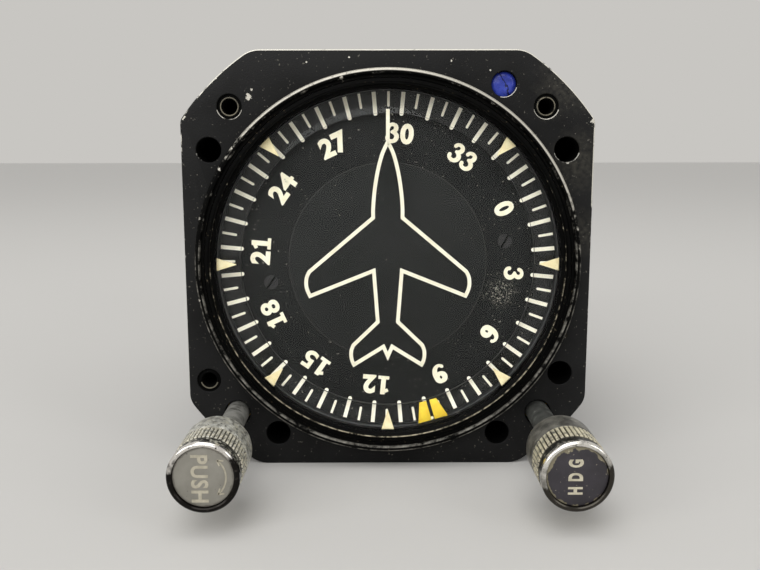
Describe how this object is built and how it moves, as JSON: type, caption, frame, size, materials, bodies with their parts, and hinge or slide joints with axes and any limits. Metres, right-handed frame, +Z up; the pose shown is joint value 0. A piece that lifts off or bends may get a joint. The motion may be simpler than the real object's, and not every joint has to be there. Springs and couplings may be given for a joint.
{
  "type": "aircraft directional gyro",
  "caption": "Heading instrument with a round compass card behind glass, a flanged front with two corner knobs, and a gimballed gyro rotor in a round can behind.",
  "frame": {"origin": "middle of the whole box in plan, on the surface that the flange's bottom edge stands on", "axes": "+Z up, +Y from the dial to the rear ports along the dial axis, +X to the viewer's right"},
  "size_m": [0.0826, 0.1586, 0.0849],
  "materials": {
    "black_paint": "satin black paint on a light alloy casting, worn at the edges",
    "bezel_paint": "satin black paint on turned metal, worn bright on the crest",
    "black_metal": "blackened steel",
    "clear_glass": "flat clear glass",
    "clear_plastic": "clear acrylic",
    "black_rubber": "matt rubber",
    "cream_paint": "matt cream marking paint",
    "yellow_paint": "matt yellow marking paint",
    "dial_black": "matt black dial paint",
    "blue_sealant": "glossy cracked sealing compound",
    "bright_steel": "turned steel",
    "aluminium_alloy": "machined light alloy",
    "gear_brass": "machined brass",
    "dark_knob_metal": "blackened knurled metal worn to bare metal",
    "worn_nickel": "dull worn nickel plate",
    "dark_label": "dark faded paint with cream letters",
    "pale_label": "silver-grey faded paint with cream letters",
    "filter_felt": "pressed felt"
  },
  "bodies": {
    "case": {"front_housing": "black_paint", "bezel_ring": "bezel_paint", "retaining_ring": "black_metal", "cover_glass": "clear_glass", "glass_gasket": "black_rubber", "lubber_ring": "cream_paint", "aircraft_symbol": "cream_paint", "insert_upper_left": "bright_steel", "insert_upper_right": "bright_steel", "insert_lower_left": "bright_steel", "seal_plug": "blue_sealant", "hdg_bush": "gear_brass", "cage_bush": "gear_brass", "cage_spring": "bright_steel", "bearing_plate": "aluminium_alloy", "card_bearing": "bright_steel", "gimbal_frame": "aluminium_alloy", "upper_bearing": "bright_steel", "lower_bearing": "bright_steel", "case_shell": "black_paint", "case_screw_1": "bright_steel", "case_screw_2": "bright_steel", "case_screw_3": "bright_steel", "case_screw_4": "bright_steel", "rear_cover": "black_paint", "rear_screw_1": "bright_steel", "rear_screw_2": "bright_steel", "rear_screw_3": "bright_steel", "air_inlet_port": "aluminium_alloy", "vacuum_port": "aluminium_alloy", "air_filter": "filter_felt"},
    "outer_gimbal_ring": {"outer_gimbal": "aluminium_alloy", "azimuth_gear": "gear_brass", "tilt_bearing_left": "bright_steel", "tilt_bearing_right": "bright_steel"},
    "inner_gimbal_ring": {"inner_gimbal": "aluminium_alloy", "rotor_bearing_front": "bright_steel", "rotor_bearing_rear": "bright_steel"},
    "gyro_rotor": {"rotor": "gear_brass", "rotor_axle": "bright_steel"},
    "transfer": {"transfer_shaft": "bright_steel"},
    "card": {"compass_card": "dial_black", "card_center_plate": "dial_black", "card_screw_1": "black_metal", "card_screw_2": "black_metal", "card_hub": "aluminium_alloy", "card_gear": "gear_brass"},
    "bug": {"bug_ring": "clear_plastic", "bug_drum": "aluminium_alloy", "heading_bug": "yellow_paint"},
    "heading_knob": {"hdg_knob": "dark_knob_metal", "hdg_cap": "dark_label", "hdg_shaft": "bright_steel"},
    "heading_idler": {"hdg_idler": "gear_brass"},
    "cage_plunger": {"cage_carriage": "bright_steel"},
    "caging_knob": {"cage_knob": "worn_nickel", "cage_cap": "pale_label", "cage_shaft": "bright_steel"},
    "caging_idler": {"cage_idler": "gear_brass"},
    "caging_lever": {"caging_arm": "bright_steel"}
  },
  "joints": [
    {"name": "outer_gimbal_turn", "type": "hinge", "parent": "case", "child": "outer_gimbal_ring", "pos_m": [0, 0.01875, 0.04245], "axis": [0, 0, 1], "continuous": true},
    {"name": "inner_gimbal_tilt", "type": "hinge", "parent": "outer_gimbal_ring", "child": "inner_gimbal_ring", "pos_m": [0, 0.01875, 0.04245], "axis": [1, 0, 0], "range_deg": [-50, 50]},
    {"name": "rotor_spin", "type": "hinge", "parent": "inner_gimbal_ring", "child": "gyro_rotor", "pos_m": [0, 0.01875, 0.04245], "axis": [0, 1, 0], "continuous": true},
    {"name": "transfer_turn", "type": "hinge", "parent": "case", "child": "transfer", "pos_m": [0, 0, 0.01445], "axis": [0, 1, 0], "continuous": true},
    {"name": "card_turn", "type": "hinge", "parent": "case", "child": "card", "pos_m": [0, 0, 0.04245], "axis": [0, 1, 0], "continuous": true},
    {"name": "bug_turn", "type": "hinge", "parent": "card", "child": "bug", "pos_m": [0, 0, 0.04245], "axis": [0, 1, 0], "continuous": true},
    {"name": "hdg_knob_turn", "type": "hinge", "parent": "case", "child": "heading_knob", "pos_m": [0.03143, 0, 0.01102], "axis": [0, 1, 0], "continuous": true},
    {"name": "hdg_idler_turn", "type": "hinge", "parent": "case", "child": "heading_idler", "pos_m": [0.02761, 0, 0.01484], "axis": [0, 1, 0], "continuous": true},
    {"name": "cage_push", "type": "slide", "parent": "case", "child": "cage_plunger", "axis": [0, 1, 0], "range_m": [0, 0.004], "stiffness_N_per_m": 300, "deforming": ["cage_spring"]},
    {"name": "cage_knob_turn", "type": "hinge", "parent": "cage_plunger", "child": "caging_knob", "pos_m": [-0.03143, 0, 0.01102], "axis": [0, 1, 0], "continuous": true},
    {"name": "cage_idler_turn", "type": "hinge", "parent": "cage_plunger", "child": "caging_idler", "pos_m": [-0.02761, 0, 0.01484], "axis": [0, 1, 0], "continuous": true},
    {"name": "caging_arm_turn", "type": "hinge", "parent": "case", "child": "caging_lever", "pos_m": [-0.01909, -0.02275, 0.02336], "axis": [0.7071, 0, -0.7071], "range_deg": [0, 19.5]}
  ],
  "couplings": [
    {"joint": "transfer_turn", "follows": "outer_gimbal_turn", "ratio": 3},
    {"joint": "card_turn", "follows": "outer_gimbal_turn", "ratio": -1},
    {"joint": "hdg_idler_turn", "follows": "hdg_knob_turn", "ratio": -0.8},
    {"joint": "bug_turn", "follows": "hdg_knob_turn", "ratio": 0.059917},
    {"joint": "cage_idler_turn", "follows": "cage_knob_turn", "ratio": -0.8},
    {"joint": "caging_arm_turn", "follows": "cage_push", "rad_per_m": 84.59}
  ]
}
